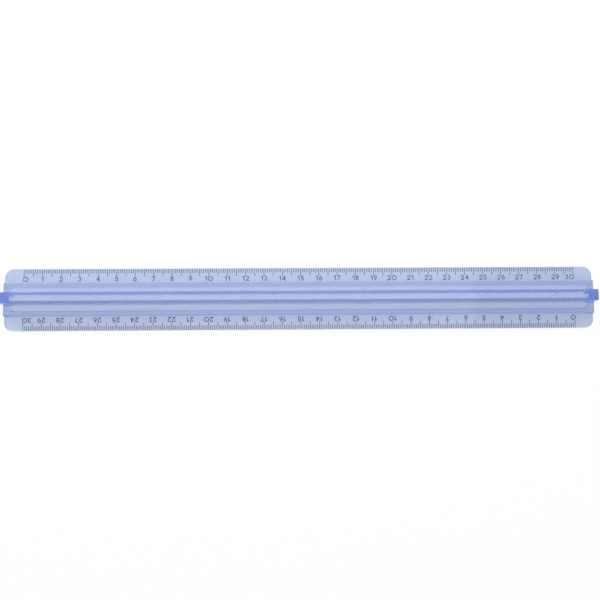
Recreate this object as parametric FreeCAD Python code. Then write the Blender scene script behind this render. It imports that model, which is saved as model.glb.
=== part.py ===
"""Clear plastic 30 cm ruler with a raised hollow grip along its middle.

The ruler is one injection moulding: a plate whose two long edges thin down to the printed scales, a
wide low rail along the middle, and a narrow grip that stands on the rail. Rail and grip are hollow
from below and closed at both ends. A round well in the grip's hollow marks the moulding gate. The
two centimetre scales are printed ink, and lie on the sloping margins. The upper scale reads from
left to right, and the lower one is the same print turned half a turn.

Frame: millimetres, X along the ruler, Y across it, Z up, origin at the middle of the resting face.
"""

import math
import os

import FreeCAD, Part
from FreeCAD import Vector

# --- printed scales ----------------------------------------------------------------------------
CENTIMETRE = 10.0
MILLIMETRES_IN_CENTIMETRE = 10
HALF_CENTIMETRE_STEP = 5
INK_THICKNESS = 0.04
INK_TO_EDGE_ROUND = 0.05  # from the end of the edge's rounding to where the marks start
MARK_WIDTH = 0.28
MILLIMETRE_MARK_LENGTH = 2.3
HALF_CENTIMETRE_MARK_LENGTH = 4.1
CENTIMETRE_MARK_LENGTH = 4.1
NUMERAL_HEIGHT = 2.7
NUMERAL_STROKE = 0.38
NUMERAL_GAP = 0.05  # from the end of the centimetre marks
NUMERAL_TO_RAIL = 0.7
DIGIT_SPACING = 0.55
END_NUMERAL_OVERHANG = 0.4  # how far 0 and 30 reach past their own marks

# --- ruler plate -------------------------------------------------------------------------------
RULER_LENGTH = 320.0
END_MARGIN = 10.0  # the least, from the first and last marks to the ends of the ruler
CORNER_RADIUS = 4.5
EDGE_THICKNESS = 1.6  # at the two graduated edges
PLATE_THICKNESS = 2.2  # where the margins meet the rail
EDGE_ROUND = 0.15  # rounding along the outline of the plate

# --- rail and grip, whose sides lean inwards as they rise ---------------------------------------
RAIL_BASE_WIDTH = 18.3
RAIL_TOP_WIDTH = 17.9
RAIL_HEIGHT = 4.0  # above the resting face
RAIL_WALL = 2.4
RAIL_ROOF = 2.3
RAIL_END_WALL = 2.7
RAIL_CAVITY_RADIUS = 1.5  # plan corners of the rail's hollow
GRIP_BASE_WIDTH = 6.6
GRIP_TOP_WIDTH = 6.0
GRIP_HEIGHT = 10.0  # above the resting face
GRIP_WALL = 1.1
GRIP_ROOF = 2.2
GRIP_END_WALL = 4.0
UPPER_ROUND = 0.25  # rounding of the rail's and the grip's upper and end edges

# --- gate well ---------------------------------------------------------------------------------
GATE_FROM_END = 24.0  # from the right-hand end of the ruler
GATE_WELL_DIAMETER = 4.4
GATE_STUB_DIAMETER = 1.2
GATE_STUB_LENGTH = 0.5

# Strokes of each figure, drawn on a square whose side is the figure's height less one stroke.
# A line is two points; an arc is its centre, its radius and its first and last angle in degrees.
FIGURES = {
    "0": [("arc", (0.5, 0.5), 0.5, 0, 360)],
    "1": [("line", (0.28, 0.0), (0.28, 1.0)), ("line", (0.28, 1.0), (0.0, 0.72))],
    "2": [
        ("arc", (0.3, 0.7), 0.3, -45, 180),
        ("line", (0.512, 0.488), (0.0, 0.0)),
        ("line", (0.0, 0.0), (0.6, 0.0)),
    ],
    "3": [("arc", (0.28, 0.78), 0.22, -90, 160), ("arc", (0.28, 0.28), 0.28, -160, 90)],
    "4": [
        ("line", (0.5, 1.0), (0.0, 0.3)),
        ("line", (0.0, 0.3), (0.68, 0.3)),
        ("line", (0.5, 0.0), (0.5, 1.0)),
    ],
    "5": [
        ("line", (0.15, 1.0), (0.55, 1.0)),
        ("line", (0.15, 1.0), (0.061, 0.529)),
        ("arc", (0.28, 0.31), 0.31, -160, 135),
    ],
    "6": [("arc", (0.31, 0.31), 0.31, 0, 360), ("line", (0.042, 0.465), (0.351, 1.0))],
    "7": [("line", (0.0, 1.0), (0.6, 1.0)), ("line", (0.6, 1.0), (0.2, 0.0))],
    "8": [("arc", (0.28, 0.77), 0.23, 0, 360), ("arc", (0.28, 0.27), 0.27, 0, 360)],
    "9": [("arc", (0.31, 0.69), 0.31, 0, 360), ("line", (0.578, 0.535), (0.269, 0.0))],
}

# --- worked out from the sizes above -----------------------------------------------------------
TOUCHING = 1e-6  # two heights or places closer than this are the same
SCALE_CENTIMETRES = math.floor((RULER_LENGTH - 2 * END_MARGIN) / CENTIMETRE + TOUCHING)
SCALE_START_X = -SCALE_CENTIMETRES * CENTIMETRE / 2
MILLIMETRE = CENTIMETRE / MILLIMETRES_IN_CENTIMETRE
PRINT_START = EDGE_ROUND + INK_TO_EDGE_ROUND
NUMERAL_FOOT = PRINT_START + CENTIMETRE_MARK_LENGTH + NUMERAL_GAP + NUMERAL_HEIGHT
MARGIN_WIDTH = NUMERAL_FOOT + NUMERAL_TO_RAIL
RULER_WIDTH = RAIL_BASE_WIDTH + 2 * MARGIN_WIDTH
END_X = RULER_LENGTH / 2
EDGE_Y = RULER_WIDTH / 2
MARGIN_SLOPE = math.atan2(PLATE_THICKNESS - EDGE_THICKNESS, MARGIN_WIDTH)
RAIL_CAVITY_TOP = RAIL_HEIGHT - RAIL_ROOF
RAIL_CAVITY_WIDTH = RAIL_TOP_WIDTH - 2 * RAIL_WALL
GRIP_CAVITY_TOP = GRIP_HEIGHT - GRIP_ROOF
GRIP_SLOT_WIDTH = GRIP_TOP_WIDTH - 2 * GRIP_WALL
GATE_X = END_X - GATE_FROM_END
BAR_FOOT_HEIGHT = PLATE_THICKNESS / 2
BELOW = 1.0  # how far cutting tools start under the resting face

X_AXIS = Vector(1, 0, 0)
Z_AXIS = Vector(0, 0, 1)


# --- plan outlines -----------------------------------------------------------------------------
def rounded_rectangle(length, width, radius):
    """Face in the XY plane, centred on the origin, with round corners."""
    corners = []
    for quarter, (side_x, side_y) in enumerate([(1, 1), (-1, 1), (-1, -1), (1, -1)]):
        centre = Vector(side_x * (length / 2 - radius), side_y * (width / 2 - radius), 0)
        corners.append(Part.makeCircle(radius, centre, Z_AXIS, 90 * quarter, 90 * (quarter + 1)))
    outline = []
    for corner, following in zip(corners, corners[1:] + corners[:1]):
        outline.append(corner)
        start = corner.valueAt(corner.LastParameter)
        end = following.valueAt(following.FirstParameter)
        if start.distanceToPoint(end) > TOUCHING:
            outline.append(Part.LineSegment(start, end).toShape())
    return Part.Face(Part.Wire(outline))


def prism(face, bottom, top):
    """Solid over a plan face, from one height to another."""
    lifted = face.translated(Vector(0, 0, bottom))
    return lifted.extrude(Vector(0, 0, top - bottom))


def prism_along_ruler(section):
    """Solid of the ruler's whole length, from the corners of its cross-section in Y and Z."""
    corners = [Vector(-END_X, y, z) for y, z in section]
    return Part.Face(Part.makePolygon(corners + corners[:1])).extrude(Vector(RULER_LENGTH, 0, 0))


def round_edges(solid, radius, wanted):
    """Rounds every edge whose bounding box passes the test."""
    return solid.makeFillet(radius, [edge for edge in solid.Edges if wanted(edge.BoundBox)])


# --- ruler body --------------------------------------------------------------------------------
def ruler_plate():
    """Plate with thin long edges and round corners."""
    rail_y = RAIL_BASE_WIDTH / 2
    wedge = prism_along_ruler(
        [
            (-EDGE_Y, 0),
            (EDGE_Y, 0),
            (EDGE_Y, EDGE_THICKNESS),
            (rail_y, PLATE_THICKNESS),
            (-rail_y, PLATE_THICKNESS),
            (-EDGE_Y, EDGE_THICKNESS),
        ]
    )
    outline = rounded_rectangle(RULER_LENGTH, RULER_WIDTH, CORNER_RADIUS)
    plate = wedge.common(prism(outline, -BELOW, PLATE_THICKNESS + BELOW))

    def lies_on_long_edge(bounds):
        level = bounds.ZLength < TOUCHING
        outermost = min(abs(bounds.YMin), abs(bounds.YMax)) > EDGE_Y - TOUCHING
        return level and outermost

    return round_edges(plate, EDGE_ROUND, lies_on_long_edge)


def raised_bar(base_width, base_height, top_width, top_height):
    """Bar along the whole ruler whose sides lean inwards. Its foot is inside the plate, and not rounded."""
    lean = (base_width - top_width) / 2 / (top_height - base_height)
    foot_y = base_width / 2 + lean * (base_height - BAR_FOOT_HEIGHT)
    top_y = top_width / 2
    bar = prism_along_ruler(
        [(-foot_y, BAR_FOOT_HEIGHT), (foot_y, BAR_FOOT_HEIGHT), (top_y, top_height), (-top_y, top_height)]
    )
    return round_edges(bar, UPPER_ROUND, lambda bounds: bounds.ZMax > BAR_FOOT_HEIGHT + TOUCHING)


def rail_cavity():
    """Hollow under the rail, open below."""
    plan = rounded_rectangle(RULER_LENGTH - 2 * RAIL_END_WALL, RAIL_CAVITY_WIDTH, RAIL_CAVITY_RADIUS)
    return prism(plan, -BELOW, RAIL_CAVITY_TOP)


def grip_slot():
    """Slot up into the grip, with half-round ends."""
    plan = rounded_rectangle(RULER_LENGTH - 2 * GRIP_END_WALL, GRIP_SLOT_WIDTH, GRIP_SLOT_WIDTH / 2)
    return prism(plan, -BELOW, GRIP_CAVITY_TOP)


def gate_cylinder(diameter, bottom, top):
    """Upright cylinder at the gate."""
    return Part.makeCylinder(diameter / 2, top - bottom, Vector(GATE_X, 0, bottom), Z_AXIS)


def ruler_body():
    """The whole moulding."""
    rail = raised_bar(RAIL_BASE_WIDTH, PLATE_THICKNESS, RAIL_TOP_WIDTH, RAIL_HEIGHT)
    grip = raised_bar(GRIP_BASE_WIDTH, RAIL_HEIGHT, GRIP_TOP_WIDTH, GRIP_HEIGHT)
    outside = ruler_plate().multiFuse([rail, grip])
    well = gate_cylinder(GATE_WELL_DIAMETER, -BELOW, GRIP_CAVITY_TOP)
    hollowed = outside.cut([rail_cavity(), grip_slot(), well])
    stub = gate_cylinder(GATE_STUB_DIAMETER, GRIP_CAVITY_TOP - GATE_STUB_LENGTH, GRIP_HEIGHT - GRIP_ROOF / 2)
    return hollowed.fuse(stub).removeSplitter()


# --- ink ---------------------------------------------------------------------------------------
def on_upper_margin(ink):
    """Lays flat ink on the upper margin. Flat ink has the plate's edge along y = 0."""
    tilted = ink.copy()
    tilted.rotate(Vector(0, 0, 0), X_AXIS, -math.degrees(MARGIN_SLOPE))
    tilted.translate(Vector(0, EDGE_Y, EDGE_THICKNESS))
    return tilted


def on_lower_margin(ink):
    """Lays flat ink on the lower margin, which is the upper one turned half a turn."""
    turned = on_upper_margin(ink)
    turned.rotate(Vector(0, 0, 0), Z_AXIS, 180)
    return turned


def marks(length, is_wanted):
    """Flat ink marks of one length at the millimetres for which is_wanted(number) is true."""
    count = SCALE_CENTIMETRES * MILLIMETRES_IN_CENTIMETRE
    made = []
    for number in range(count + 1):
        if is_wanted(number):
            corner = Vector(SCALE_START_X + number * MILLIMETRE - MARK_WIDTH / 2, -PRINT_START - length, 0)
            made.append(Part.makeBox(MARK_WIDTH, length, INK_THICKNESS, corner))
    return made


def stroke_line(start, end):
    """Flat bar along a line, with square ends half a stroke past its points."""
    along = (end - start).normalize() * (NUMERAL_STROKE / 2)
    across = Vector(-along.y, along.x, 0)
    first, last = start - along, end + along
    corners = [first + across, first - across, last - across, last + across]
    return Part.Face(Part.makePolygon(corners + corners[:1]))


def stroke_arc(centre, radius, first, last):
    """Flat ring, or part of one, along an arc that runs anticlockwise."""
    half = NUMERAL_STROKE / 2
    if last - first >= 360:
        rims = [Part.Wire(Part.makeCircle(radius + side, centre)) for side in (half, -half)]
        return Part.Face(rims[0]).cut(Part.Face(rims[1]))
    outer = Part.makeCircle(radius + half, centre, Z_AXIS, first, last)
    inner = Part.makeCircle(radius - half, centre, Z_AXIS, first, last)
    outer_ends = [outer.valueAt(at) for at in outer.ParameterRange]
    inner_ends = [inner.valueAt(at) for at in inner.ParameterRange]
    caps = [Part.LineSegment(a, b).toShape() for a, b in zip(outer_ends, inner_ends)]
    return Part.Face(Part.Wire(Part.__sortEdges__([outer, inner] + caps)))


def figure(character):
    """One figure as flat ink, standing on y = 0 and starting at x = 0, with its width."""
    side = NUMERAL_HEIGHT - NUMERAL_STROKE
    shift = NUMERAL_STROKE / 2

    def place(point):
        return Vector(point[0] * side + shift, point[1] * side + shift, 0)

    strokes = []
    for kind, *points in FIGURES[character]:
        if kind == "line":
            start, end = points
            flat = stroke_line(place(start), place(end))
        else:
            centre, radius, first, last = points
            flat = stroke_arc(place(centre), radius * side, first, last)
        strokes.append(flat.extrude(Vector(0, 0, INK_THICKNESS)))
    joined = strokes[0].multiFuse(strokes[1:]).removeSplitter() if strokes[1:] else strokes[0]
    extent = joined.optimalBoundingBox()
    return joined.Solids[0].translated(Vector(-extent.XMin, 0, 0)), extent.XLength


def numerals():
    """Flat ink numerals 0 to 30 under their centimetre marks."""
    library = {character: figure(character) for character in FIGURES}
    made = []
    for number in range(SCALE_CENTIMETRES + 1):
        text = str(number)
        width = sum(library[c][1] for c in text) + DIGIT_SPACING * (len(text) - 1)
        mark_x = SCALE_START_X + number * CENTIMETRE
        x = mark_x - width / 2
        if number == 0:
            x = mark_x - END_NUMERAL_OVERHANG
        if number == SCALE_CENTIMETRES:
            x = mark_x + END_NUMERAL_OVERHANG - width
        for character in text:
            solid, advance = library[character]
            made.append(solid.translated(Vector(x, -NUMERAL_FOOT, 0)))
            x += advance + DIGIT_SPACING
    return made


def scale_ink():
    """The four kinds of flat ink that make one scale, by name."""
    per_centimetre = MILLIMETRES_IN_CENTIMETRE
    return {
        "millimetre_marks": marks(MILLIMETRE_MARK_LENGTH, lambda n: n % HALF_CENTIMETRE_STEP),
        "half_centimetre_marks": marks(
            HALF_CENTIMETRE_MARK_LENGTH, lambda n: n % HALF_CENTIMETRE_STEP == 0 and n % per_centimetre
        ),
        "centimetre_marks": marks(CENTIMETRE_MARK_LENGTH, lambda n: n % per_centimetre == 0),
        "numerals": numerals(),
    }


def main():
    """Builds every node and writes one STEP file for each."""
    nodes = {"ruler_body": ruler_body()}
    for name, pieces in scale_ink().items():
        nodes["upper_" + name] = Part.makeCompound([on_upper_margin(ink) for ink in pieces])
        nodes["lower_" + name] = Part.makeCompound([on_lower_margin(ink) for ink in pieces])
    os.makedirs("parts", exist_ok=True)
    for name, shape in nodes.items():
        shape.exportStep(os.path.join("parts", name + ".step"))
        print(name, len(shape.Solids), "solids", round(shape.Volume, 3), "mm3", "valid", shape.isValid())


main()
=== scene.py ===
"""Looks of a clear blue 30 cm grip ruler: its moulded body, its printed scales and a plain studio.

The body is modelled again with fine roundings, because light bends at every edge of clear plastic.
The printed scales keep their own solids and get an ink finish. Lengths are in metres.
"""

import logging
import math
from collections.abc import Iterable
from dataclasses import dataclass, field
from enum import Enum

import bmesh
import bpy
from mathutils import Matrix, Vector

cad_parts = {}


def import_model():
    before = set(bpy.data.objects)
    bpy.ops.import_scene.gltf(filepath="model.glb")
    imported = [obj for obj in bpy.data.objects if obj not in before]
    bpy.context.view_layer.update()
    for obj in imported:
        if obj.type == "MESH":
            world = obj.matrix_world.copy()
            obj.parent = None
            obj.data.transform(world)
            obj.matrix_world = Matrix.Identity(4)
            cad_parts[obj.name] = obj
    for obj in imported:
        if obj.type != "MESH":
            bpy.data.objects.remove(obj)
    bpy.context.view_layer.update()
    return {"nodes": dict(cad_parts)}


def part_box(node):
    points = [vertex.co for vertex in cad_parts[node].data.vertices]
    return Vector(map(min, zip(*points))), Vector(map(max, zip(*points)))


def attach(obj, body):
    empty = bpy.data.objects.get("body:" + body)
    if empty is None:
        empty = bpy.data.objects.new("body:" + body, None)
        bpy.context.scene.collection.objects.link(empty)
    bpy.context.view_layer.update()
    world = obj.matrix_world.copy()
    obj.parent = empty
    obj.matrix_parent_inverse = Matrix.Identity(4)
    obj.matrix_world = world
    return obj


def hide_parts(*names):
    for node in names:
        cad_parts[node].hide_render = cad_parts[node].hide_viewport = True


Point = tuple[float, float, float]
Colour = tuple[float, float, float, float]

MM = 0.001
WHITE: Colour = (1.0, 1.0, 1.0, 1.0)
TOUCHING = 0.001 * MM  # points nearer than this are one point
LEVEL = 0.01 * MM  # how far a point may lie off the face that it belongs to
SHARP_BEND = math.radians(40)  # edges that bend more than this are rounded, or stay sharp in the shading
CYLINDER_SIDES = 40
log = logging.getLogger("grip_ruler")


# --- shader graphs -----------------------------------------------------------------------------
@dataclass(frozen=True)
class Cloud:
    """A cloudy pattern: its size, its finer layers, its stretch, and the levels that it fades in between."""

    size: float
    detail: float
    stretch: Point = (1, 1, 1)
    fade: tuple[float, float] | None = None


class Term:
    """A number inside a shader. Arithmetic on it adds Math nodes."""

    def __init__(self, graph: "Graph", socket: bpy.types.NodeSocket) -> None:
        """Wraps one output socket.

        Args:
            graph: the graph that the socket belongs to.
            socket: the output that carries the number.
        """
        self.graph = graph
        self.socket = socket

    def __add__(self, other: "Term | float") -> "Term":
        """Sum."""
        return self.graph.maths("ADD", self, other)

    def __sub__(self, other: "Term | float") -> "Term":
        """Difference."""
        return self.graph.maths("SUBTRACT", self, other)

    def __rsub__(self, other: float) -> "Term":
        """Difference from a plain number."""
        return self.graph.maths("SUBTRACT", other, self)

    def __mul__(self, other: "Term | float") -> "Term":
        """Product."""
        return self.graph.maths("MULTIPLY", self, other)

    __radd__ = __add__
    __rmul__ = __mul__

    def above(self, low: float, high: float) -> "Term":
        """Rises from 0 at low to 1 at high, and stays there.

        Args:
            low: the number that gives 0.
            high: the number that gives 1.

        Returns:
            The number, stretched and kept between 0 and 1.
        """
        stretched = (self - low) * (1 / (high - low))
        return self.graph.maths("MINIMUM", self.graph.maths("MAXIMUM", stretched, 0.0), 1.0)


class Graph:
    """The node tree of one material or of the world."""

    def __init__(self, owner: bpy.types.Material | bpy.types.World) -> None:
        """Empties the owner's node tree.

        Args:
            owner: the material or world whose nodes are written.
        """
        owner.use_nodes = True
        self.tree = owner.node_tree
        self.tree.nodes.clear()

    def node(
        self,
        kind: str,
        settings: dict[str, object] | None = None,
        inputs: dict[str | int, object] | None = None,
    ) -> bpy.types.Node:
        """Adds one node.

        Args:
            kind: the node's type.
            settings: properties, which are set first.
            inputs: values or links of its sockets, by name or by place.

        Returns:
            The new node.
        """
        made = self.tree.nodes.new(kind)
        for name, value in (settings or {}).items():
            setattr(made, name, value)
        for key, value in (inputs or {}).items():
            if isinstance(value, Term):
                value = value.socket
            if isinstance(value, bpy.types.NodeSocket):
                self.tree.links.new(value, made.inputs[key])
            else:
                made.inputs[key].default_value = value
        return made

    def maths(self, operation: str, first: "Term | float", second: "Term | float") -> Term:
        """Joins two numbers with a Math node.

        Args:
            operation: the Math node's operation.
            first: the first number.
            second: the second number.

        Returns:
            The result.
        """
        made = self.node("ShaderNodeMath", {"operation": operation}, {0: first, 1: second})
        return Term(self, made.outputs[0])

    def mix_colour(self, factor: Term, low: Colour, high: Colour) -> bpy.types.NodeSocket:
        """Blends two colours.

        Args:
            factor: 0 gives low and 1 gives high.
            low: the first colour.
            high: the second colour.

        Returns:
            The blended colour's socket.
        """
        made = self.node("ShaderNodeMix", {"data_type": "RGBA"}, {0: factor, 6: low, 7: high})
        return made.outputs[2]

    def noise(self, cloud: Cloud) -> Term:
        """Cloudy noise in the piece's own coordinates.

        Args:
            cloud: its pattern.

        Returns:
            The noise, which is around one half, or from 0 to 1 if the pattern fades.
        """
        place = self.node("ShaderNodeTexCoord").outputs["Object"]
        scale = Vector(1 / (cloud.size * part) for part in cloud.stretch)
        mapping = self.node("ShaderNodeMapping", None, {"Vector": place, "Scale": scale})
        inputs = {"Vector": mapping.outputs[0], "Scale": 1.0, "Detail": cloud.detail}
        plain = Term(self, self.node("ShaderNodeTexNoise", None, inputs).outputs["Fac"])
        return plain.above(*cloud.fade) if cloud.fade else plain

    def bump(self, height: Term, depth: float) -> bpy.types.NodeSocket:
        """Turns a height into a normal.

        Args:
            height: the height, from 0 to 1.
            depth: how far 1 stands above 0.

        Returns:
            The normal's socket.
        """
        return self.node("ShaderNodeBump", None, {"Height": height, "Distance": depth}).outputs[0]

    def output(self, kind: str, surface: bpy.types.NodeSocket, **others: bpy.types.NodeSocket) -> None:
        """Ends the graph.

        Args:
            kind: the output node's type.
            surface: the shader of the surface.
            others: shaders of its other sockets, by name.
        """
        self.node(kind, None, {"Surface": surface} | others)


def new_material(name: str) -> tuple[bpy.types.Material, Graph]:
    """Makes an empty material.

    Args:
        name: its name.

    Returns:
        The material and its graph.
    """
    material = bpy.data.materials.new(name)
    return material, Graph(material)


# --- finishes ----------------------------------------------------------------------------------
@dataclass(frozen=True)
class ClearPlastic:
    """Clear tinted plastic, polished in the mould and lightly handled."""

    name: str = "clear_blue_plastic"
    refraction: float = 1.5
    tint: Colour = (0.87, 0.93, 1.0, 1.0)
    deeper_tint: Colour = (0.845, 0.91, 0.995, 1.0)
    absorption: Point = (122.0, 95.0, 20.0)  # per metre, for red, green and blue
    density: float = 300.0  # per metre, of a black absorber
    clouds: Cloud = Cloud(size=22 * MM, detail=3.0, stretch=(2, 1, 1), fade=(0.35, 0.7))
    polished_roughness: float = 0.035
    smears: Cloud = Cloud(size=9 * MM, detail=3.0, stretch=(3, 1, 1), fade=(0.5, 0.8))
    smear_roughness: float = 0.05
    scratches: Cloud = Cloud(size=0.25 * MM, detail=2.0, stretch=(60, 1, 1), fade=(0.66, 0.74))
    scratch_roughness: float = 0.1
    scratch_depth: float = 0.02  # as a share of the flow's depth
    flow: Cloud = Cloud(size=14 * MM, detail=1.0, stretch=(2.5, 1, 1))
    flow_depth: float = 0.002 * MM

    def build(self) -> bpy.types.Material:
        """Makes the material.

        Returns:
            The material.
        """
        material, graph = new_material(self.name)
        smears = graph.noise(self.smears)
        scratches = graph.noise(self.scratches)
        handled = smears * self.smear_roughness + scratches * self.scratch_roughness
        flow = graph.noise(self.flow) - scratches * self.scratch_depth
        inputs = {
            "Base Color": graph.mix_colour(graph.noise(self.clouds), self.tint, self.deeper_tint),
            "Roughness": self.polished_roughness + handled,
            "IOR": self.refraction,
            "Transmission Weight": 1.0,
            "Normal": graph.bump(flow, self.flow_depth),
        }
        plastic = graph.node("ShaderNodeBsdfPrincipled", None, inputs).outputs[0]
        colour = tuple(1 - lost / self.density for lost in self.absorption) + (1.0,)
        inputs = {"Color": colour, "Density": self.density}
        volume = graph.node("ShaderNodeVolumeAbsorption", None, inputs).outputs[0]
        graph.output("ShaderNodeOutputMaterial", plastic, Volume=volume)
        return material


@dataclass(frozen=True)
class ScaleInk:
    """Dark printing ink, slightly uneven and worn thin in specks."""

    name: str = "scale_ink"
    deep: Colour = (0.015, 0.04, 0.17, 1.0)
    thin: Colour = (0.04, 0.085, 0.30, 1.0)
    patches: Cloud = Cloud(size=1.4 * MM, detail=4.0, fade=(0.48, 0.75))
    deep_roughness: float = 0.42
    patch_roughness: float = 0.2
    grain: Cloud = Cloud(size=0.15 * MM, detail=2.0)
    grain_depth: float = 0.01 * MM

    def build(self) -> bpy.types.Material:
        """Makes the material.

        Returns:
            The material.
        """
        material, graph = new_material(self.name)
        patches = graph.noise(self.patches)
        inputs = {
            "Base Color": graph.mix_colour(patches, self.deep, self.thin),
            "Roughness": self.deep_roughness + patches * self.patch_roughness,
            "Normal": graph.bump(graph.noise(self.grain), self.grain_depth),
        }
        ink = graph.node("ShaderNodeBsdfPrincipled", None, inputs).outputs[0]
        graph.output("ShaderNodeOutputMaterial", ink)
        return material


@dataclass(frozen=True)
class WhitePaper:
    """White ground that looks pure white, and still keeps a soft shadow."""

    name: str = "white_ground"
    colour: Colour = (0.97, 0.97, 0.97, 1.0)
    white_seen: float = 0.95
    white_through_plastic: float = 0.45

    def build(self) -> bpy.types.Material:
        """Makes the material.

        Returns:
            The material.
        """
        material, graph = new_material(self.name)
        matte = graph.node("ShaderNodeBsdfDiffuse", None, {"Color": self.colour}).outputs[0]
        white = graph.node("ShaderNodeEmission", None, {"Color": WHITE, "Strength": 1.0}).outputs[0]
        factor = seen_white(graph, self.white_seen, self.white_through_plastic)
        surface = graph.node("ShaderNodeMixShader", None, {0: factor, 1: matte, 2: white}).outputs[0]
        graph.output("ShaderNodeOutputMaterial", surface)
        return material


def seen_white(graph: Graph, direct: float, through_plastic: float) -> Term:
    """Finds how much pure white shows to the rays that make the picture.

    Args:
        graph: the graph that asks.
        direct: share of white for what is seen straight or mirrored.
        through_plastic: share of white for what is seen through clear plastic.

    Returns:
        The share, which is 0 for the rays that only carry light.
    """
    path = graph.node("ShaderNodeLightPath").outputs
    through = Term(graph, path["Is Transmission Ray"])
    mirrored = Term(graph, path["Is Glossy Ray"]) - through  # a ray bent by plastic counts as glossy too
    straight = graph.maths("MAXIMUM", Term(graph, path["Is Camera Ray"]), mirrored)
    unscattered = 1 - graph.maths("MINIMUM", Term(graph, path["Diffuse Depth"]), 1.0)
    return graph.maths("MAXIMUM", straight * direct, through * through_plastic) * unscattered


# --- the moulded body --------------------------------------------------------------------------
class RoundedEdges(Enum):
    """Which edges of a solid are rounded."""

    BY_WEIGHT = "WEIGHT"
    SHARP = "ANGLE"


class Combination(Enum):
    """How two solids are combined."""

    JOINED = "UNION"
    CUT_AWAY = "DIFFERENCE"


class Rounding(Enum):
    """How strongly an edge of the moulding is rounded, as a share of the largest rounding."""

    BAR = 1.0  # the outer edges of the rail and the grip
    JUNCTION = 0.5  # the inner corners at their feet
    OUTLINE = 0.6  # the edges of the plate


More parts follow.
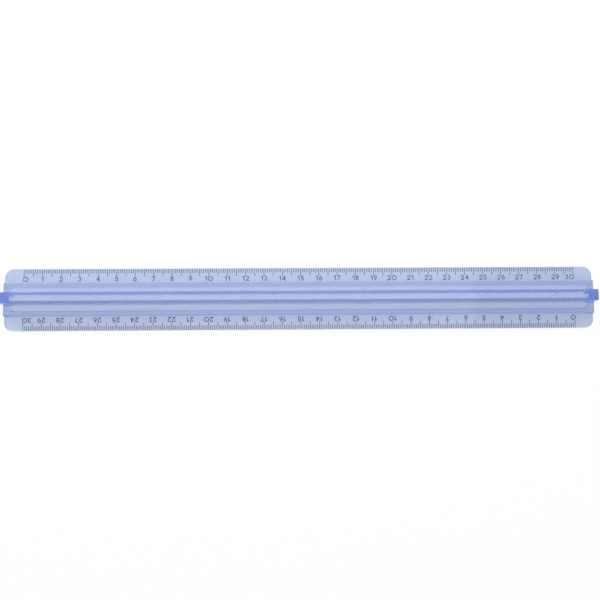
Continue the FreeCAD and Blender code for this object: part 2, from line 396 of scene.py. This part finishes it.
@dataclass
class RulerBody:
    """The one clear moulding: plate, rail and grip, hollow from below."""

    low: Vector
    high: Vector
    finish: ClearPlastic = field(default_factory=ClearPlastic)
    edge_thickness: float = 1.6 * MM
    plate_thickness: float = 2.2 * MM
    corner_radius: float = 4.5 * MM
    corner_segments: int = 16
    rail_base_width: float = 18.3 * MM
    rail_top_width: float = 17.9 * MM
    rail_height: float = 4.0 * MM
    rail_wall: float = 2.4 * MM
    rail_roof: float = 2.3 * MM
    rail_end_wall: float = 2.7 * MM
    cavity_radius: float = 1.5 * MM
    cavity_top_share: tuple[float, float] = (0.993, 0.94)  # of length and width, since it has draft
    grip_base_width: float = 6.6 * MM
    grip_top_width: float = 6.0 * MM
    grip_wall: float = 1.1 * MM
    grip_roof: float = 2.2 * MM
    grip_end_wall: float = 4.0 * MM
    hollow_segments: int = 8  # at each upright corner of the rail's and the grip's hollow
    slot_radius: float = 1.0 * MM
    slot_top_share: tuple[float, float] = (0.993, 0.79)
    gate_from_end: float = 24.0 * MM
    gate_diameter: float = 3.7 * MM
    gate_depth: float = 0.5 * MM
    stub_diameter: float = 1.2 * MM
    stub_length: float = 0.8 * MM
    largest_round: float = 0.25 * MM
    outside_segments: int = 4
    outside_bend: float = math.radians(25)  # edges of the outer form that bend less are left alone
    core_round: float = 0.1 * MM
    core_segments: int = 3
    rim_round: float = 0.1 * MM
    rim_segments: int = 2
    rim_bend: float = math.radians(60)  # edges of the rim bend more than this
    reach: float = 1.0 * MM  # how far a cutting solid reaches past the face that it cuts
    overlap: float = 0.02 * MM  # how far the core's parts reach into each other

    @property
    def length(self) -> float:
        """Length of the ruler."""
        return self.high.x - self.low.x

    @property
    def cavity_top(self) -> float:
        """Height of the rail's hollow."""
        return self.rail_height - self.rail_roof

    @property
    def slot_top(self) -> float:
        """Height of the grip's hollow."""
        return self.high.z - self.grip_roof

    def build(self) -> bpy.types.Object:
        """Makes the body and dresses it.

        Returns:
            The body's object.
        """
        body = cut_away(self.outside(), [self.core()])
        self.round_rim(body)
        smooth_flats(body)
        body.name = "clear_body"
        body.data.name = "clear_body"
        body.data.materials.clear()
        body.data.materials.append(self.finish.build())
        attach(body, "root")
        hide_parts("ruler_body")
        return body

    def outside(self) -> bpy.types.Object:
        """Makes the solid outer form, with its edges rounded.

        Returns:
            An object for the outer form.
        """
        half = self.high.y
        upper_half = [
            (half, 0.0),
            (half, self.edge_thickness),
            (self.rail_base_width / 2, self.plate_thickness),
            (self.rail_top_width / 2, self.rail_height),
            (self.grip_base_width / 2, self.rail_height),
            (self.grip_top_width / 2, self.high.z),
        ]
        section = upper_half + [(-y, z) for y, z in reversed(upper_half)]
        mesh = bmesh.new()
        end = mesh.faces.new([mesh.verts.new((self.low.x, y, z)) for y, z in section])
        swept = bmesh.ops.extrude_face_region(mesh, geom=[end], use_keep_orig=True)
        moved = [item for item in swept["geom"] if isinstance(item, bmesh.types.BMVert)]
        bmesh.ops.translate(mesh, verts=moved, vec=(self.length, 0, 0))
        bmesh.ops.recalc_face_normals(mesh, faces=mesh.faces)
        uprights = [edge for edge in mesh.edges if is_upright(edge) and on_outline(edge, half)]
        bevel(mesh, uprights, self.corner_radius, self.corner_segments)
        self.weigh_edges(mesh)
        made = new_object("outside", mesh)
        return rounded(made, RoundedEdges.BY_WEIGHT, self.largest_round, self.outside_segments)

    def weigh_edges(self, mesh: bmesh.types.BMesh) -> None:
        """Sets how strongly each sharp edge is rounded.

        Args:
            mesh: the outer form.
        """
        weight = mesh.edges.layers.float.new("bevel_weight_edge")
        plate_top = self.plate_thickness + LEVEL
        for edge in mesh.edges:
            if edge.calc_face_angle(0.0) < self.outside_bend:
                continue
            heights = [vertex.co.z for vertex in edge.verts]
            if edge.calc_face_angle_signed(0.0) < 0:
                edge[weight] = Rounding.JUNCTION.value
            elif max(heights) < plate_top:
                edge[weight] = Rounding.OUTLINE.value
            else:
                edge[weight] = Rounding.BAR.value

    def core(self) -> bpy.types.Object:
        """Makes the solid that the hollow is cut with.

        Returns:
            An object for the core.
        """
        gate_x = self.high.x - self.gate_from_end
        cavity = rounded_block(
            (self.length - 2 * self.rail_end_wall, self.rail_top_width - 2 * self.rail_wall),
            (-self.reach, self.cavity_top),
            self.cavity_radius,
            self.hollow_segments,
            self.cavity_top_share,
        )
        slot_width = self.grip_top_width - 2 * self.grip_wall
        slot = rounded_block(
            (self.length - 2 * self.grip_end_wall, slot_width),
            (-self.reach, self.slot_top),
            self.slot_radius,
            self.hollow_segments,
            self.slot_top_share,
        )
        well_top = self.slot_top + self.gate_depth
        well = cylinder(self.gate_diameter / 2, (self.slot_top - self.overlap, well_top), gate_x)
        stub = cylinder(self.stub_diameter / 2, (well_top - self.stub_length, well_top + self.reach), gate_x)
        whole = cut_away(joined(cavity, [slot, well]), [stub])
        return rounded(whole, RoundedEdges.SHARP, self.core_round, self.core_segments)

    def round_rim(self, body: bpy.types.Object) -> None:
        """Rounds the rim of the hollow where it meets the resting face.

        Args:
            body: the hollow body.
        """
        mesh = bmesh.new()
        mesh.from_mesh(body.data)
        bmesh.ops.remove_doubles(mesh, verts=mesh.verts, dist=TOUCHING)
        bmesh.ops.dissolve_degenerate(mesh, edges=mesh.edges, dist=TOUCHING)
        bevel(mesh, [edge for edge in mesh.edges if self.is_rim(edge)], self.rim_round, self.rim_segments)
        bmesh.ops.recalc_face_normals(mesh, faces=mesh.faces)
        mesh.to_mesh(body.data)
        mesh.free()

    def is_rim(self, edge: bmesh.types.BMEdge) -> bool:
        """Tells whether an edge lies on the hollow's rim.

        Args:
            edge: an edge of the hollow body.

        Returns:
            True for a sharp edge of the resting face that is inside the rail's walls.
        """
        half_width = self.rail_top_width / 2
        half_length = self.high.x - self.rail_end_wall / 2
        middle = (edge.verts[0].co + edge.verts[1].co) / 2
        in_face = all(abs(vertex.co.z) < LEVEL and abs(vertex.co.y) < half_width for vertex in edge.verts)
        return in_face and abs(middle.x) < half_length and edge.calc_face_angle(0.0) > self.rim_bend


# --- modelling helpers -------------------------------------------------------------------------
def new_object(name: str, mesh: bmesh.types.BMesh) -> bpy.types.Object:
    """Turns a bmesh into an object, and frees it.

    Args:
        name: the object's name.
        mesh: the bmesh.

    Returns:
        The object.
    """
    data = bpy.data.meshes.new(name)
    mesh.to_mesh(data)
    mesh.free()
    made = bpy.data.objects.new(name, data)
    bpy.context.scene.collection.objects.link(made)
    return made


def bevel(mesh: bmesh.types.BMesh, edges: list[bmesh.types.BMEdge], radius: float, segments: int) -> None:
    """Rounds edges.

    Args:
        mesh: the bmesh that holds them.
        edges: the edges.
        radius: the rounding's size.
        segments: how many flats it has.
    """
    bmesh.ops.bevel(
        mesh,
        geom=edges,
        offset=radius,
        offset_type="OFFSET",
        affect="EDGES",
        segments=segments,
        profile=0.5,
        material=-1,
        clamp_overlap=True,
    )


def is_upright(edge: bmesh.types.BMEdge) -> bool:
    """True for an edge that runs straight up."""
    across = edge.verts[0].co.xy - edge.verts[1].co.xy
    return across.length < TOUCHING


def on_outline(edge: bmesh.types.BMEdge, half_width: float) -> bool:
    """True for an edge on the two long sides."""
    return all(abs(abs(vertex.co.y) - half_width) < TOUCHING for vertex in edge.verts)


def rounded_block(
    plan: tuple[float, float],
    heights: tuple[float, float],
    radius: float,
    segments: int,
    top_share: tuple[float, float],
) -> bpy.types.Object:
    """Makes a block with round upright corners, centred on the Z axis.

    Args:
        plan: its length and width.
        heights: its lowest and highest level.
        radius: the radius of its upright corners.
        segments: how many flats each of those corners has.
        top_share: shares of its length and width that are left at its top, which give its sides draft.

    Returns:
        An object for the block.
    """
    mesh = bmesh.new()
    size = Vector((plan[0], plan[1], heights[1] - heights[0]))
    place = Matrix.Translation((0, 0, sum(heights) / 2)) @ Matrix.Diagonal(size).to_4x4()
    bmesh.ops.create_cube(mesh, size=1.0, matrix=place)
    bevel(mesh, [edge for edge in mesh.edges if is_upright(edge)], radius, segments)
    top = [vertex for vertex in mesh.verts if vertex.co.z > sum(heights) / 2]
    bmesh.ops.scale(mesh, vec=(*top_share, 1), verts=top)
    return new_object("block", mesh)


def cylinder(radius: float, heights: tuple[float, float], x: float) -> bpy.types.Object:
    """Makes an upright cylinder on the ruler's middle line.

    Args:
        radius: its radius.
        heights: its lowest and highest level.
        x: its place along the ruler.

    Returns:
        An object for the cylinder.
    """
    mesh = bmesh.new()
    bmesh.ops.create_cone(
        mesh,
        cap_ends=True,
        segments=CYLINDER_SIDES,
        radius1=radius,
        radius2=radius,
        depth=heights[1] - heights[0],
        matrix=Matrix.Translation((x, 0, sum(heights) / 2)),
    )
    return new_object("cylinder", mesh)


def applied(made: bpy.types.Object) -> bpy.types.Object:
    """Applies an object's modifiers.

    Args:
        made: the object.

    Returns:
        The same object.
    """
    graph = bpy.context.evaluated_depsgraph_get()
    mesh = bpy.data.meshes.new_from_object(made.evaluated_get(graph))
    made.modifiers.clear()
    made.data = mesh
    return made


def rounded(
    made: bpy.types.Object, edges: RoundedEdges, width: float, segments: int
) -> bpy.types.Object:
    """Rounds a solid's edges.

    Args:
        made: the solid.
        edges: which of its edges are rounded.
        width: the rounding's size, which an edge's weight lessens.
        segments: how many flats it has.

    Returns:
        The same solid.
    """
    rounding = made.modifiers.new("rounding", "BEVEL")
    rounding.limit_method = edges.value
    rounding.angle_limit = SHARP_BEND
    rounding.width = width
    rounding.segments = segments
    return applied(made)


def combined(
    base: bpy.types.Object, others: Iterable[bpy.types.Object], combination: Combination
) -> bpy.types.Object:
    """Joins or cuts solids, and removes the solids that were used up.

    Args:
        base: the solid that is kept.
        others: the solids that join it or are cut from it.
        combination: whether they join or cut.

    Returns:
        The kept solid.
    """
    used = list(others)
    for other in used:
        step = base.modifiers.new("step", "BOOLEAN")
        step.operation = combination.value
        step.solver = "EXACT"
        step.object = other
    applied(base)
    for other in used:
        bpy.data.objects.remove(other)
    return base


def joined(base: bpy.types.Object, others: Iterable[bpy.types.Object]) -> bpy.types.Object:
    """Joins solids into one."""
    return combined(base, others, Combination.JOINED)


def cut_away(base: bpy.types.Object, others: Iterable[bpy.types.Object]) -> bpy.types.Object:
    """Cuts solids out of another."""
    return combined(base, others, Combination.CUT_AWAY)


def smooth_flats(made: bpy.types.Object) -> None:
    """Shades roundings smoothly and keeps flat faces flat.

    Args:
        made: the object.
    """
    for face in made.data.polygons:
        face.use_smooth = True
    made.data.set_sharp_from_angle(angle=SHARP_BEND)
    weighted = made.modifiers.new("flats", "WEIGHTED_NORMAL")
    weighted.keep_sharp = True
    applied(made)


# --- the printed scales ------------------------------------------------------------------------
class ScaleSide(Enum):
    """The two long edges that carry a scale."""

    UPPER = "upper"
    LOWER = "lower"


@dataclass
class PrintedScale:
    """One printed centimetre scale: its marks and its numerals."""

    side: ScaleSide
    ink: bpy.types.Material
    kinds: tuple[str, ...] = ("millimetre_marks", "half_centimetre_marks", "centimetre_marks", "numerals")

    def build(self, nodes: dict[str, bpy.types.Object]) -> list[bpy.types.Object]:
        """Gives the scale's own solids their ink.

        Args:
            nodes: the frame's nodes by name.

        Returns:
            The dressed nodes.
        """
        dressed = [nodes[f"{self.side.value}_{kind}"] for kind in self.kinds]
        for printed in dressed:
            printed.data.materials.clear()
            printed.data.materials.append(self.ink)
        return dressed


# --- the studio --------------------------------------------------------------------------------
@dataclass(frozen=True)
class Lamp:
    """One soft lamp that points at the ruler's middle."""

    name: str
    place: Point
    width: float
    height: float
    power: float

    def build(self) -> bpy.types.Object:
        """Makes the lamp.

        Returns:
            The lamp's object.
        """
        data = bpy.data.lights.new(self.name, "AREA")
        data.shape = "RECTANGLE"
        data.size = self.width
        data.size_y = self.height
        data.energy = self.power
        made = bpy.data.objects.new(self.name, data)
        made.location = self.place
        made.rotation_euler = (-Vector(self.place)).to_track_quat("-Z", "Y").to_euler()
        made.visible_camera = False
        bpy.context.scene.collection.objects.link(made)
        return made


@dataclass(frozen=True)
class ViewPoint:
    """The camera, nearly straight above the ruler."""

    place: Point = (-7.36 * MM, -56.64 * MM, 360 * MM)
    target: Point = (-0.63 * MM, -26.93 * MM, 0.0)
    roll: float = math.radians(-0.48)
    focal_length: float = 39.83
    shift_up: float = 0.08
    near_limit: float = 10 * MM

    def build(self) -> bpy.types.Object:
        """Makes the camera and gives it to the scene.

        Returns:
            The camera's object.
        """
        data = bpy.data.cameras.new("camera")
        data.lens = self.focal_length
        data.shift_y = self.shift_up
        data.clip_start = self.near_limit
        made = bpy.data.objects.new("camera", data)
        forward = (Vector(self.target) - Vector(self.place)).normalized()
        right = forward.cross(Vector((0, 1, 0))).normalized()
        upright = Matrix((right, right.cross(forward), -forward)).transposed()
        turn = upright @ Matrix.Rotation(self.roll, 3, "Z")
        made.matrix_world = Matrix.Translation(self.place) @ turn.to_4x4()
        bpy.context.scene.collection.objects.link(made)
        bpy.context.scene.camera = made
        return made


@dataclass
class Studio:
    """White ground, soft lamps and a white surround."""

    ground: WhitePaper = field(default_factory=WhitePaper)
    ground_size: float = 6.0
    air_gap: float = 0.1 * MM
    ambient: float = 0.36
    lamps: tuple[Lamp, ...] = (
        Lamp("key_lamp", place=(0.0, 0.33, 0.14), width=1.3, height=0.42, power=5.2),
        Lamp("top_lamp", place=(-0.09, 0.0, 0.5), width=0.7, height=0.7, power=1.0),
    )
    view: ViewPoint = field(default_factory=ViewPoint)

    def build(self) -> bpy.types.Object:
        """Makes the ground, the lamps, the surround and the camera.

        Returns:
            The ground's object.
        """
        mesh = bmesh.new()
        level = Matrix.Translation((0, 0, -self.air_gap))
        bmesh.ops.create_grid(mesh, x_segments=1, y_segments=1, size=self.ground_size / 2, matrix=level)
        ground = new_object("ground", mesh)
        ground.data.materials.append(self.ground.build())
        for lamp in self.lamps:
            lamp.build()
        self.surround()
        self.view.build()
        bpy.context.scene.view_settings.view_transform = "Standard"
        return ground

    def surround(self) -> None:
        """Makes the world: white where it is seen, and dimmer as a light."""
        world = bpy.data.worlds.new("surround")
        bpy.context.scene.world = world
        graph = Graph(world)
        strength = self.ambient + seen_white(graph, 1.0, 1.0) * (1 - self.ambient)
        light = graph.node("ShaderNodeBackground", None, {"Color": WHITE, "Strength": strength})
        graph.output("ShaderNodeOutputWorld", light.outputs[0])


def main() -> None:
    """Loads the frame, dresses the ruler and sets up the studio."""
    logging.basicConfig(level=logging.INFO, format="%(name)s: %(message)s")
    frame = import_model()
    body = RulerBody(*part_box("ruler_body")).build()
    log.info("%s has %d faces", body.name, len(body.data.polygons))
    ink = ScaleInk().build()
    for side in ScaleSide:
        for printed in PrintedScale(side, ink).build(frame["nodes"]):
            log.info("%s has ink", printed.name)
    ground = Studio().build()
    log.info("%s is laid", ground.name)


if __name__ == "__main__":
    main()
